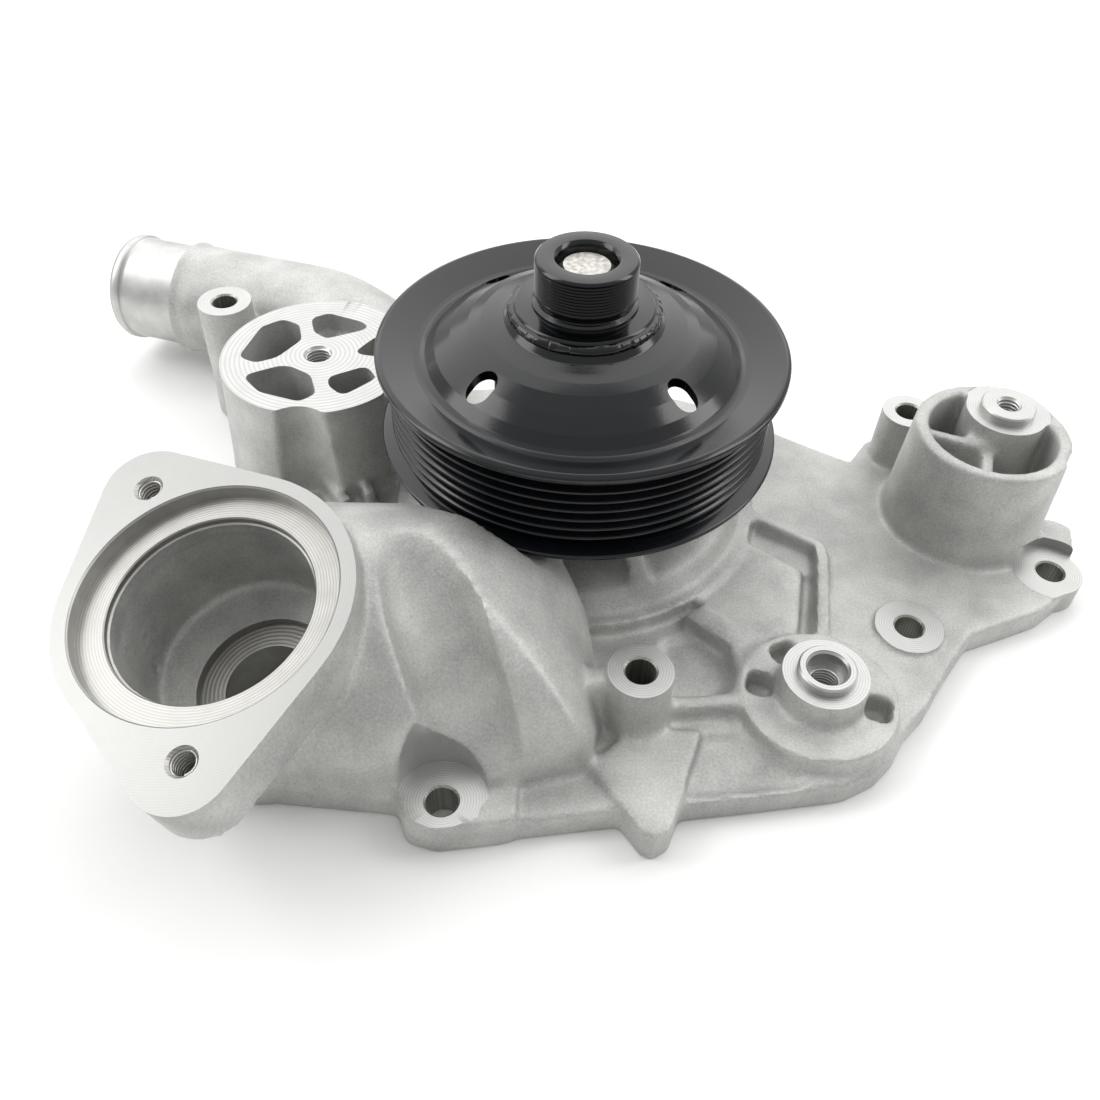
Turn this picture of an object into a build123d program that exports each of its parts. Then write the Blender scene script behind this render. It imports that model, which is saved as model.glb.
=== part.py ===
from build123d import *
import math
import os

os.makedirs("parts", exist_ok=True)

# Millimetres. +Z runs along the pump shaft from the engine to the belt, z = 0 is the rear mounting face.

# belt pulley
belt_pitch = 3.56
groove_count = 7
first_groove_z = 70.78
ridge_r = 61.5
groove_r = 58.6
groove_flat = 0.7
groove_half = 1.41
flange_r = 65.0
rim_front_z = 78.0
rim_rear_z = 45.8
rim_inner_r = 56.6
dish_holes = 4
dish_hole_r = 4.1
dish_hole_long = 10.0
dish_hole_pitch_r = 41.5
dish_hole_turn = -47.0
pulley_room_r = 67.2
pulley_room_z = 43.8

# hub
nose_r = 15.7
nose_top_z = 107.0
collar_r = 21.8
collar_top_z = 91.5
hub_bottom_z = 75.0
hub_boss_r = 15.2

# shaft and bearing
shaft_r = 9.0
shaft_tail_r = 8.0
shaft_end_r = 7.1
shaft_chamfer_z = 102.4
shaft_top_z = 104.4
shaft_tail_z = 0.0
shaft_step_z = 26.5
race_outer_r = 20.0
race_inner_r = 15.4
race_bottom_z = 28.0
race_top_z = 73.0
ball_r = 3.96
ball_pitch_r = 12.3
ball_count = 8
groove_ball_r = 3.98
front_row_z = 63.0
rear_row_z = 38.0

# seal and impeller
seal_bore_r = 18.0
chamber_r = 42.0
chamber_top_z = 16.0
impeller_r = 38.0
vane_count = 6

# bolt holes through the body: x, y, top of the spot face, boss radius
clear_r = 4.5
bolt_posts = {
    "lower": (-38.6, -124.3, 12.0, 6.6),
    "middle": (16.5, -92.8, 30.5, 9.7),
    "right": (107.0, -58.0, 10.4, 10.6),
    "ear": (162.5, -31.1, 8.9, 10.5),
    "upper": (122.8, 29.0, 30.0, 9.5),
    "left": (-132.2, 65.4, 48.0, 10.0),
}

# idler seat on the low pad
pad_seat = (71.3, -88.6)
pad_r = 24.0
pad_z = 15.0
pad_boss_r = 13.0
pad_boss_z = 24.8
pad_pilot_r = 8.6
pad_pilot_z = 27.6
pad_relief_r = 5.8
pad_thread_r = 4.25

# idler seat in the tower
tower_c = (138.5, -3.8)
tower_r = 25.5
tower_foot_r = 28.0
tower_top_z = 48.0
tower_wall = 4.5
tower_boss = (146.0, 7.0)
tower_boss_r = 13.5
tower_pilot_r = 9.0
tower_pilot_z = 50.8
tower_thread_r = 3.4

# tensioner drum
drum_c = (-92.0, 32.5)
drum_r = 34.0
drum_foot_r = 37.0
drum_top_z = 48.0
drum_thread_r = 4.25

# thermostat seat, a face tipped from the shaft direction
seat_origin = (-101.1, -92.3, 58.3)
seat_normal = (-0.130, -0.187, 0.974)
seat_x = (0.991, 0.0, 0.132)
seat_round_r = 41.0
seat_ears = ((-22.6, 38.3), (2.5, -45.6))
seat_ear_r = 13.6
seat_thick = 18.0
seat_bore_r = 36.4
seat_bore_deep = 4.5
seat_mouth_r = 28.7
seat_floor_deep = 43.0
seat_thread_r = 3.4
seat_thread_deep = 24.0
bypass_at = (4.0, -5.0)
bypass_r = 13.3
bypass_ring_r = 21.0

# hose spigot
spigot_end = (-182.0, 110.6, 26.0)
spigot_turn = 343.1
spigot_r = 20.2
spigot_lip_r = 21.1
spigot_bore_r = 16.6
spigot_long = 28.5
pipe_r = 21.5
pipe_bend = (-97.0, 84.75, 26.0)
pipe_port = (-66.0, 55.0)


def ringPart(outer, inner, low, high):
    """A plain ring about the shaft axis."""
    ring = Cylinder(outer, high - low, align=(Align.CENTER, Align.CENTER, Align.MIN))
    ring = ring - Cylinder(inner, high - low, align=(Align.CENTER, Align.CENTER, Align.MIN))
    return Pos(0, 0, low) * ring


def turned(points):
    """A solid of revolution about the shaft axis from radius and height pairs."""
    face = make_face(Polyline(*[(r, 0, z) for r, z in points], close=True))
    return revolve(face, Axis.Z, 360)


def post(x, y, low, high, foot_r, top_r):
    """A tapered round post standing on the given height."""
    cone = Cone(foot_r, top_r, high - low, align=(Align.CENTER, Align.CENTER, Align.MIN))
    return Pos(x, y, low) * cone


def rod(x, y, low, high, radius):
    """A straight round bar parallel to the shaft."""
    bar = Cylinder(radius, high - low, align=(Align.CENTER, Align.CENTER, Align.MIN))
    return Pos(x, y, low) * bar


def slab(points, low, high, corner=0.0):
    """A flat plate from corner points, its outer corners rounded."""
    face = make_face(Polyline(*points, close=True))
    if corner > 0:
        face = offset(offset(face, -corner), corner)
    return extrude(Pos(0, 0, low) * face, amount=high - low, dir=(0, 0, 1))


def wall(start, end, thick, low, high):
    """A straight upright rib between two points."""
    dx = end[0] - start[0]
    dy = end[1] - start[1]
    length = math.hypot(dx, dy)
    bar = Box(length, thick, high - low, align=(Align.MIN, Align.CENTER, Align.MIN))
    return Pos(start[0], start[1], low) * Rot(0, 0, math.degrees(math.atan2(dy, dx))) * bar


def bar(start, end, radius):
    """A straight round bar between two points in space."""
    way = Vector(*end) - Vector(*start)
    plane = Plane(origin=start, z_dir=way.normalized())
    return extrude(plane * Circle(radius), amount=way.length)


def hump():
    """The elbow that carries coolant from the rear port to the thermostat."""
    plan = slab([(5.5, -82), (2, -66), (-10, -51), (-30, -37), (-60, -27), (-98, -27), (-98, -118), (-30, -121),
                 (2, -113), (5.5, -100)], 0, 62, 6.0)
    side = Polyline((5.5, 10), (5.5, -1), (-100, -1), (-100, 59.5), (-50, 59.5))
    side = make_face([*side.edges(), ThreePointArc((-50, 59.5), (-10, 43), (5.5, 10)).edge()])
    front = Polyline((-121.5, 12), (-121.5, -1), (-28, -1), (-28, 10))
    front = make_face([*front.edges(), ThreePointArc((-28, 10), (-40, 44), (-66, 59.5)).edge(),
                       ThreePointArc((-66, 59.5), (-106, 44), (-121.5, 12)).edge()])
    along = extrude(Plane(origin=(0, 0, 0), x_dir=(1, 0, 0), z_dir=(0, -1, 0)) * side, amount=140)
    across = extrude(Plane(origin=(-100, 0, 0), x_dir=(0, 1, 0), z_dir=(1, 0, 0)) * front, amount=110)
    valley = bar((-50, -72.1, 72.7), (-23, -134.2, 21.4), 13.0)
    return (plan & along & across) - valley


def pipe(radius, start, foot_z):
    """The suction pipe, from a distance along the spigot axis down to a height."""
    turn = math.radians(spigot_turn)
    sx, sy, sz = spigot_end
    first = (sx + math.cos(turn) * start, sy + math.sin(turn) * start, sz)
    path = FilletPolyline(first, pipe_bend, (pipe_port[0], pipe_port[1], sz),
                          (pipe_port[0], pipe_port[1], foot_z), radius=[40.0, 24.0])
    return sweep(Plane(origin=path @ 0, z_dir=path % 0) * Circle(radius), path=path)


def spigotBar(radius, start, length):
    """A round bar on the spigot axis, measured inward from its open end."""
    turn = math.radians(spigot_turn)
    plane = Plane(origin=spigot_end, z_dir=(math.cos(turn), math.sin(turn), 0))
    return extrude(plane.offset(start) * Circle(radius), amount=length)


def seatPlane(deep=0.0):
    """The thermostat face plane, moved down its own axis by a depth."""
    return Plane(origin=seat_origin, x_dir=seat_x, z_dir=seat_normal).offset(-deep)


def seatBar(radius, deep_from, deep_to, at=(0.0, 0.0)):
    """A round bar square to the thermostat face between two depths."""
    return extrude(seatPlane(deep_to) * Pos(at[0], at[1]) * Circle(radius), amount=deep_to - deep_from)


def basePlate():
    """The flat mounting flange with its ears, before any hole."""
    outline = [
        (-51, -122), (-47, -130), (-40, -132), (4, -126), (50, -120), (76, -116), (86, -111),
        (93, -104), (98, -96), (106, -88), (116, -74), (127, -60), (142, -54), (154, -49),
        (163, -42), (165, -20), (166, 2), (158, 20), (146, 27), (134, 38), (114, 38), (105, 25),
        (97, 30), (80, 41), (64, 53), (44, 62), (16, 67), (-20, 68), (-44, 66), (-70, 60),
        (-100, 62), (-122, 54), (-128, 30), (-122, 0), (-118, -40), (-124, -84), (-104, -116),
        (-84, -119),
    ]
    plate = slab(outline, 0, 9.0, 4.0)
    plate += rod(0, 0, 0, 14.0, 63.0)
    plate += slab([(-52, -121), (-48.5, -130.5), (-40, -133.2), (-18, -130), (-18, -108), (-52, -108)], 0, 12.0, 3.5)
    plate += slab([(148, -8), (170, -8), (175.5, -12), (172, -25), (148, -25)], 0, 12.0, 2.5)
    for x, y, top, radius in bolt_posts.values():
        plate += post(x, y, 0, top, radius + 0.02 * top, radius)
    return plate


def reliefPockets():
    """Shallow open pockets between the ribs on the front of the flange."""
    cuts = slab([(27, -87), (24, -72), (28, -64), (38, -61), (46, -68.5), (46.5, -80), (43, -86.5)], 6.0, 20, 2.5)
    cuts += slab([(70.3, -62.4), (74.3, -61.4), (80, -36), (76.2, -35)], 6.5, 20, 1.4)
    cuts += slab([(36, -99.8), (46, -99), (52, -106), (60, -112), (69, -116), (28, -120.5)], 6.5, 20, 2.0)
    return cuts


def frontRibs():
    """The raised ribs that tie the posts, the pad and the scroll together."""
    ribs = wall((16.5, -92.8), (50, -90), 5.0, 5, 14.5)
    ribs += slab([(33, -57), (40, -53), (56, -66), (60, -71), (52, -92), (44, -92), (47.5, -80), (47, -69)], 0, 14.0, 1.5)
    ribs += slab([(38, -56), (54, -67), (70, -62.5), (77, -36), (60, -22), (44, -40)], 0, 12.6, 2.0)
    ribs += wall((76.5, -68), (82.5, -36), 4.5, 5, 14.0)
    ribs += wall((82.3, -38), (84, -24), 4.5, 5, 13.8)
    ribs += wall((84, -24), (60, -8), 5.0, 5, 13.5)
    ribs += wall((-4, -93), (16.5, -92.8), 7.0, 5, 28.0)
    ribs += slab([(2, -112), (16.5, -133.8), (19.5, -134.8), (24, -132), (28, -122), (36, -99), (14, -100)], 0, 12.0, 1.5)
    return ribs


def scroll():
    """The impeller scroll and the bearing snout with its stiffening webs."""
    body = turned([(0, 5), (58, 5), (58, 15), (54, 20), (46, 22.5), (34, 25), (30.5, 32), (28.5, 48),
                   (27.5, 74), (0, 74)])
    for turn in (-68, -8, 52, 112, 172, 232):
        web = Polyline((26, 0, 20), (55, 0, 14), (55, 0, 20), (29, 0, 46), (26, 0, 46), close=True)
        body += Rot(0, 0, turn) * extrude(make_face(web), amount=3.2, both=True)
    return body


def drum():
    """The tensioner drum with its grooved front wall."""
    body = post(drum_c[0], drum_c[1], 0, drum_top_z, drum_foot_r, drum_r)
    body -= post(-93.5, -9.0, 8, drum_top_z + 1, 12.5, 11.5)
    body += wall((-89, 4), (-80, -8), 4.0, 5, 15.0)
    body += wall((-78, 10), (-72, -6), 4.0, 5, 17.0)
    return body


def drumPockets():
    """The deep pockets between the spokes of the drum."""
    shapes = [
        (14, [(-119.5, 30), (-113, 26.5), (-106, 30), (-99, 41), (-101.5, 50.5), (-108, 54), (-115, 49)]),
        (40, [(-98, 55), (-92, 58.5), (-78.5, 53), (-75.5, 49), (-90.5, 42), (-95.5, 46)]),
        (14, [(-116, 19), (-104.5, 25), (-100.5, 25), (-92.5, 20), (-89, 9.5), (-94, 5), (-108.5, 10)]),
        (14, [(-86.5, 19), (-74, 26), (-69.5, 19), (-80, 8.5), (-85.5, 14)]),
        (30, [(-80, 33), (-66, 31), (-66, 41), (-72, 45)]),
    ]
    cuts = Part()
    for floor, shape in shapes:
        cuts += slab(shape, floor, drum_top_z + 1, 2.2)
    return cuts


def tower():
    """The hollow idler tower with its offset inner boss."""
    body = post(tower_c[0], tower_c[1], 0, tower_top_z, tower_foot_r, tower_r)
    body -= post(tower_c[0], tower_c[1], 12, tower_top_z + 1, tower_r - tower_wall - 1.5, tower_r - tower_wall)
    body += post(tower_boss[0], tower_boss[1], 0, tower_top_z, tower_boss_r + 1.5, tower_boss_r)
    body += wall((138, -4), (118, 4), 4.0, 5, 42.0)
    body += wall((140, -2), (132, -26), 4.0, 5, 40.0)
    body -= rod(166.4, -19.5, 14, tower_top_z + 1, 8.0)
    body += rod(tower_boss[0], tower_boss[1], tower_top_z - 1, tower_pilot_z, tower_pilot_r)
    return body


def thermostatNeck():
    """The tipped thermostat flange and the neck that carries it."""
    ring = Circle(seat_round_r).edge()
    ears = [Pos(x, y) * Circle(seat_ear_r) for x, y in seat_ears]
    face = make_hull([ring] + [ear.edge() for ear in ears])
    flange = extrude(seatPlane(seat_thick) * face, amount=seat_thick)
    top = seatPlane(seat_thick - 2) * Circle(37.0)
    foot = Pos(-92, -85, 0) * Circle(34.0)
    return flange + loft([foot, top])


def thermostatCuts():
    """The thermostat counterbore, pocket, bypass seat and flange threads."""
    cuts = seatBar(seat_bore_r, -1, seat_bore_deep)
    cuts += seatBar(seat_mouth_r, -1, 20)
    cuts += seatBar(29.5, 12, seat_floor_deep - 2.5)
    cuts += seatBar(bypass_ring_r, 30, seat_floor_deep, bypass_at)
    cuts += seatBar(bypass_r, 30, 70, bypass_at)
    for at in seat_ears:
        cuts += seatBar(seat_thread_r, -1, seat_thread_deep, at)
    return cuts


def returnPassage():
    """The hollow of the elbow between the rear port and the thermostat."""
    port = slab([(-52, -104), (-6, -103), (-6, -66), (-30, -56), (-52, -62)], -1, 24, 9.0)
    tube = bar((-30, -84, 22), (-96, -84, 30), 14.5)
    return port + tube + rod(-30, -84, 5, 30, 14.5)


def housing():
    """The aluminium casting with all of its machining."""
    body = basePlate() + frontRibs() - reliefPockets()
    body += rod(pad_seat[0], pad_seat[1], 0, pad_z, pad_r)
    body += post(pad_seat[0], pad_seat[1], pad_z - 1, pad_boss_z, pad_boss_r + 0.4, pad_boss_r)
    body += rod(pad_seat[0], pad_seat[1], pad_boss_z - 1, pad_pilot_z, pad_pilot_r)
    body += scroll() + drum() + tower() + hump()
    body += pipe(pipe_r, spigot_long, 0.0)
    body += spigotBar(spigot_r, 0, spigot_long + 3)
    body += spigotBar(spigot_lip_r, 1.5, 3.0)
    body += thermostatNeck()
    body -= drumPockets()
    body -= pipe(spigot_bore_r, -1.0, -1.0)
    body -= returnPassage()
    body -= thermostatCuts()
    body -= rod(-38.6, -124.3, 12.0, 70, 13.0)
    body -= ringPart(pulley_room_r, 36.0, pulley_room_z, 80.0)
    body -= rod(0, 0, -1, chamber_top_z, chamber_r)
    for end in ((-70, 14), (68, 14)):
        body -= wall((end[0] * 0.4, end[1]), end, 22.0, -1, 6.0)
        body -= rod(end[0], end[1], -1, 6.0, 11.0)
    body -= rod(0, 0, chamber_top_z - 1, 25.0, seal_bore_r)
    body -= rod(0, 0, 24, race_bottom_z, 16.5)
    body -= rod(0, 0, race_bottom_z, 80, race_outer_r)
    body -= Rot(0, 0, 262) * Pos(0, 0, 26.4) * Rot(0, 90, 0) * Cylinder(
        1.6, 60, align=(Align.CENTER, Align.CENTER, Align.MIN))
    for x, y, top, _ in bolt_posts.values():
        body -= rod(x, y, -1, top + 1, clear_r)
    body -= rod(pad_seat[0], pad_seat[1], 22.0, 30, pad_relief_r)
    body -= rod(pad_seat[0], pad_seat[1], 5.0, 30, pad_thread_r)
    for turn in (167.2, -16.5, 115.9):
        slot = slab([(13.3, -4.3), (21.4, -4.3), (21.4, 4.3), (13.3, 4.3)], 7.0, pad_z + 1, 1.8)
        body -= Pos(pad_seat[0], pad_seat[1], 0) * Rot(0, 0, turn) * slot
    body -= rod(tower_boss[0], tower_boss[1], 22.0, 60, tower_thread_r)
    body -= rod(drum_c[0], drum_c[1], 20.0, 60, drum_thread_r)
    return body


def pulley():
    """The spun sheet pulley: dish, front flange and grooved rim in one piece."""
    shape = [(collar_r, 89.2), (22.6, 89.2), (24.9, 86.3), (28, 85.7), (32, 84.9), (36, 83.4), (41.5, 80.5),
             (46.5, 77.3), (49.6, 74.6), (51.3, 73.8), (53.2, 74.1), (63.2, rim_front_z), (flange_r, 77.2),
             (flange_r, 75.6), (63.6, 74.2), (ridge_r, 72.2)]
    for k in range(groove_count):
        mid = first_groove_z - belt_pitch * k
        shape += [(ridge_r, mid + groove_half), (groove_r, mid + groove_flat / 2)]
        shape += [(groove_r, mid - groove_flat / 2), (ridge_r, mid - groove_half)]
    shape += [(flange_r, 47.2), (flange_r, rim_rear_z), (61.5, 46.0), (rim_inner_r, 48.0),
              (rim_inner_r, 70.6), (54.0, 71.3), (51.3, 71.0), (48.4, 71.9), (45.0, 75.0), (40.3, 78.0),
              (35.2, 80.7), (31.4, 82.1), (25.5, 83.2), (collar_r, 84.0)]
    clean = [shape[0]]
    for one in shape[1:]:
        if math.dist(one, clean[-1]) > 0.02:
            clean.append(one)
    body = turned(clean)
    for k in range(dish_holes):
        turn = math.radians(dish_hole_turn + 360 * k / dish_holes)
        x = dish_hole_pitch_r * math.cos(turn)
        y = dish_hole_pitch_r * math.sin(turn)
        slot = SlotOverall(dish_hole_long, 2 * dish_hole_r, rotation=math.degrees(turn))
        body -= extrude(Pos(x, y, 66) * slot, amount=24)
    return body


def hub():
    """The steel hub: threaded fan nose, welding collar and boss on the shaft."""
    return turned([(shaft_r, hub_bottom_z), (hub_boss_r, hub_bottom_z), (17.2, 78.0), (17.2, 83.0),
                   (collar_r, 84.0), (collar_r, 90.9), (21.2, collar_top_z), (16.3, collar_top_z),
                   (16.3, 92.6), (14.9, 93.2), (14.9, 94.6), (nose_r, 95.4), (nose_r, 106.2),
                   (14.9, nose_top_z), (10.0, nose_top_z), (shaft_r, 106.0)])


def hubWeld():
    """The fillet weld bead between the pulley and the hub collar."""
    return turned([(collar_r, 89.2), (22.6, 89.2), (23.3, 88.5), (23.6, 89.2), (23.1, 90.1), (22.4, 90.55),
                   (collar_r, 90.6)])


def ballGroove(height):
    """The ring cut that a row of balls runs in."""
    return Pos(0, 0, height) * Torus(ball_pitch_r, groove_ball_r)


def pumpShaft():
    """The hardened shaft with its two ball tracks."""
    body = turned([(0, shaft_tail_z), (7.4, shaft_tail_z), (shaft_tail_r, 0.6), (shaft_tail_r, shaft_step_z),
                   (shaft_r, 27.2), (shaft_r, shaft_chamfer_z), (shaft_end_r, shaft_top_z), (0, shaft_top_z)])
    return body - ballGroove(front_row_z) - ballGroove(rear_row_z)


def bearingRing():
    """The bearing outer ring, ground inside for both ball rows."""
    body = turned([(race_inner_r, race_bottom_z), (19.3, race_bottom_z), (race_outer_r, 28.7),
                   (race_outer_r, 72.3), (19.3, race_top_z), (race_inner_r, race_top_z)])
    return body - ballGroove(front_row_z) - ballGroove(rear_row_z)


def ballRow(height):
    """One row of balls, each its own solid."""
    balls = []
    for k in range(ball_count):
        turn = 2 * math.pi * k / ball_count
        balls.append(Pos(ball_pitch_r * math.cos(turn), ball_pitch_r * math.sin(turn), height) * Sphere(ball_r))
    return Compound(children=balls)


def ballCage(height):
    """The ring that keeps one ball row spaced."""
    cage = ringPart(13.3, 11.3, height - 3.0, height + 5.2)
    for k in range(ball_count):
        turn = 2 * math.pi * k / ball_count
        cage -= Pos(ball_pitch_r * math.cos(turn), ball_pitch_r * math.sin(turn), height) * Sphere(ball_r + 0.14)
    return cage


def bearingSeal(low):
    """The moulded lip seal at one end of the bearing."""
    return turned([(race_inner_r, low), (race_inner_r, low + 2.4), (14.2, low + 2.4), (13.4, low + 1.4),
                   (9.9, low + 1.4), (9.08, low + 2.0), (9.08, low + 0.9), (9.9, low + 0.3), (14.2, low)])


def slinger():
    """The water thrower pressed on the shaft in the drain cavity."""
    return turned([(shaft_tail_r, 24.6), (9.2, 24.6), (9.2, 25.4), (14.4, 25.4), (15.0, 26.6), (14.2, 26.4),
                   (9.2, 26.2), (shaft_tail_r, 26.2)])


def sealCup():
    """The drawn cup of the shaft seal, pressed in the housing."""
    return turned([(seal_bore_r, chamber_top_z), (seal_bore_r, 24.4), (10.4, 24.4), (10.4, 23.5),
                   (17.1, 23.5), (17.1, 15.1), (20.6, 15.1), (20.6, chamber_top_z)])


def sealBellows():
    """The rubber bellows that carries the carbon ring."""
    return turned([(9.2, 16.4), (13.6, 16.4), (13.6, 17.4), (11.2, 18.2), (12.2, 19.6), (10.9, 21.0), (12.4, 22.6),
                   (12.4, 23.5), (9.2, 23.5), (9.2, 22.4), (10.2, 21.0), (9.4, 19.6), (10.2, 18.2)])


def sealSpring():
    """The coil that pushes the carbon ring on the ceramic ring."""
    path = Helix(pitch=1.9, height=5.2, radius=15.0, center=(0, 0, 17.2))
    return sweep(Plane(origin=path @ 0, z_dir=path % 0) * Circle(0.6), path=path, is_frenet=True)


def carbonRing():
    """The stationary carbon face of the shaft seal."""
    return turned([(9.2, 13.4), (9.2, 16.4), (13.6, 16.4), (13.6, 14.4), (12.2, 14.4), (12.2, 13.4)])


def seatRing():
    """The ceramic ring that turns with the shaft."""
    return ringPart(13.2, 9.6, 10.0, 13.4)


def seatBoot():
    """The rubber boot that drives the ceramic ring."""
    return turned([(shaft_tail_r, 9.0), (14.4, 9.0), (14.4, 12.2), (13.2, 12.2), (13.2, 10.0), (9.6, 10.0),
                   (9.6, 12.6), (shaft_tail_r, 12.6)])


def impeller():
    """The open impeller, its curved vanes towards the engine."""
    body = turned([(shaft_tail_r, 1.8), (11.5, 1.8), (12.4, 7.0), (impeller_r, 7.6), (impeller_r, 9.0),
                   (shaft_tail_r, 9.0)])
    for k in range(vane_count):
        arc = ThreePointArc((9.8, 0), (25.0, 6.5), (34.5, 15.4))
        blade = offset(arc, 1.15)
        body += Rot(0, 0, k * 360 / vane_count) * extrude(Pos(0, 0, 1.8) * blade, amount=6.2)
    return body - rod(0, 0, 0, 12, shaft_tail_r)


parts = {
    "housing": housing(),
    "pulley": pulley(),
    "hub": hub(),
    "hub_weld": hubWeld(),
    "pump_shaft": pumpShaft(),
    "bearing_outer_ring": bearingRing(),
    "front_balls": ballRow(front_row_z),
    "rear_balls": ballRow(rear_row_z),
    "front_ball_cage": ballCage(front_row_z),
    "rear_ball_cage": Pos(0, 0, 2 * rear_row_z) * Rot(180, 0, 0) * ballCage(rear_row_z),
    "front_bearing_seal": bearingSeal(70.2),
    "rear_bearing_seal": Pos(0, 0, 58.6) * Rot(180, 0, 0) * bearingSeal(27.8),
    "slinger": slinger(),
    "seal_cup": sealCup(),
    "seal_bellows": sealBellows(),
    "seal_spring": sealSpring(),
    "carbon_ring": carbonRing(),
    "ceramic_ring": seatRing(),
    "ceramic_ring_boot": seatBoot(),
    "impeller": impeller(),
}

for name, shape in parts.items():
    export_step(shape, f"parts/{name}.step")
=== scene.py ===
import math
import random

import bmesh
import bpy
from mathutils import Matrix, Vector, noise


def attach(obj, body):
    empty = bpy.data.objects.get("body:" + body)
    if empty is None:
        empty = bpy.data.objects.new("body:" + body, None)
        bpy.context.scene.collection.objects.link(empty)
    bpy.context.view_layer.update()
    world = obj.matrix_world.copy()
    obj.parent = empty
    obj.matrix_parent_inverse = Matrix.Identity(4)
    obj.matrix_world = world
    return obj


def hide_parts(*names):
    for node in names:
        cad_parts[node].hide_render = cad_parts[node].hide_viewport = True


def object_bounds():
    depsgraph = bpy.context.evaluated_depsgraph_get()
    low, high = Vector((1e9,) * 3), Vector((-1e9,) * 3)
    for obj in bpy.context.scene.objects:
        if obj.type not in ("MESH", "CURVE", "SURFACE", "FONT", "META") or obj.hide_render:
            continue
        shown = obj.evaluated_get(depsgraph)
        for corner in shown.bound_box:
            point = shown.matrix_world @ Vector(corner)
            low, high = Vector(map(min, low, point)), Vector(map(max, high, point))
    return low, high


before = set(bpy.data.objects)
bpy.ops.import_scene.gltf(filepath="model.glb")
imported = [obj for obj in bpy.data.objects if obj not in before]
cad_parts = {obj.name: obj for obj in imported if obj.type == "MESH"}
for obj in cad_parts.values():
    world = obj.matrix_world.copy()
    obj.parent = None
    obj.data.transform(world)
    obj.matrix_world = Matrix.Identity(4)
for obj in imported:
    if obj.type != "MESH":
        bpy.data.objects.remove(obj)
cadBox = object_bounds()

mm = 0.001
scene = bpy.context.scene


# helpers that every piece uses

def say(text):
    print("pump:", text)


def ink(code):
    # sRGB hex to the linear colour that the shader wants
    parts = [int(code[i:i + 2], 16) / 255 for i in (1, 3, 5)]
    return tuple([c / 12.92 if c <= 0.04045 else ((c + 0.055) / 1.055) ** 2.4 for c in parts] + [1.0])


def addNode(tree, kind, plugs=None, **settings):
    # one node: settings are its properties, plugs are its inputs, as sockets to link or as values
    node = tree.nodes.new(kind)
    for name, value in settings.items():
        setattr(node, name, value)
    for name, value in (plugs or {}).items():
        if isinstance(value, bpy.types.NodeSocket):
            tree.links.new(value, node.inputs[name])
        else:
            node.inputs[name].default_value = value
    return node


def setRamp(node, stops):
    ramp = node.color_ramp
    for at, colour in stops[2:]:
        ramp.elements.new(at)
    for spot, (at, colour) in zip(ramp.elements, stops):
        spot.position = at
        spot.color = colour
    return node.outputs["Color"]


def seated(mesh, matrix):
    mesh.transform(matrix)
    return mesh


def at(x, y):
    return Matrix.Translation((x * mm, y * mm, 0))


def axesAt(spot, across, along, up):
    # a frame from its origin in mm and its three axes
    return Matrix.Translation(Vector(spot) * mm) @ Matrix((across, along, up)).transposed().to_4x4()


def addPiece(name, mesh):
    piece = bpy.data.objects.new(name, mesh)
    scene.collection.objects.link(piece)
    return piece


def drop(piece):
    mesh = piece.data
    bpy.data.objects.remove(piece)
    bpy.data.meshes.remove(mesh)


def bake(piece):
    # the evaluated object becomes a plain mesh and the modifiers go
    graph = bpy.context.evaluated_depsgraph_get()
    done = bpy.data.meshes.new_from_object(piece.evaluated_get(graph), depsgraph=graph)
    old = piece.data
    piece.modifiers.clear()
    piece.data = done
    bpy.data.meshes.remove(old)
    return piece


def latheMesh(name, outline, steps=96, wave=None):
    # outline: closed radius and height pairs in mm about +Z; a radius of 0 becomes a pole
    mesh = bmesh.new()
    rings = []
    for r, z in outline:
        if r < 1e-6:
            rings.append([mesh.verts.new((0, 0, z * mm))])
            continue
        ring = []
        for k in range(steps):
            turn = 2 * math.pi * k / steps
            rr, zz = wave(r, z, turn) if wave else (r, z)
            ring.append(mesh.verts.new((rr * math.cos(turn) * mm, rr * math.sin(turn) * mm, zz * mm)))
        rings.append(ring)
    for i in range(len(rings)):
        a, b = rings[i], rings[(i + 1) % len(rings)]
        if len(a) == 1 and len(b) == 1:
            continue
        for k in range(steps):
            n = (k + 1) % steps
            if len(a) == 1:
                mesh.faces.new((a[0], b[n], b[k]))
            elif len(b) == 1:
                mesh.faces.new((a[k], a[n], b[0]))
            else:
                mesh.faces.new((a[k], a[n], b[n], b[k]))
    bmesh.ops.recalc_face_normals(mesh, faces=mesh.faces)
    if mesh.calc_volume(signed=True) < 0:
        bmesh.ops.reverse_faces(mesh, faces=mesh.faces)
    out = bpy.data.meshes.new(name)
    mesh.to_mesh(out)
    mesh.free()
    return out


def rounded(outline, radius, steps=4, keep=()):
    # rounds each corner of a closed outline, by less where its runs are short
    out = []
    count = len(outline)
    for i, here in enumerate(outline):
        p, a, b = Vector(here), Vector(outline[i - 1]), Vector(outline[(i + 1) % count])
        u, v = (a - p), (b - p)
        if i in keep or here[0] < 1e-6 or u.length < 1e-6 or v.length < 1e-6:
            out.append(here)
            continue
        angle = u.angle(v)
        if angle > math.radians(177):
            out.append(here)
            continue
        reach = min(radius / math.tan(angle / 2), 0.45 * u.length, 0.45 * v.length)
        start, end = p + u.normalized() * reach, p + v.normalized() * reach
        for k in range(steps + 1):
            t = k / steps
            spot = start * (1 - t) ** 2 + p * 2 * t * (1 - t) + end * t ** 2
            out.append((spot.x, spot.y))
    return out


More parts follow.
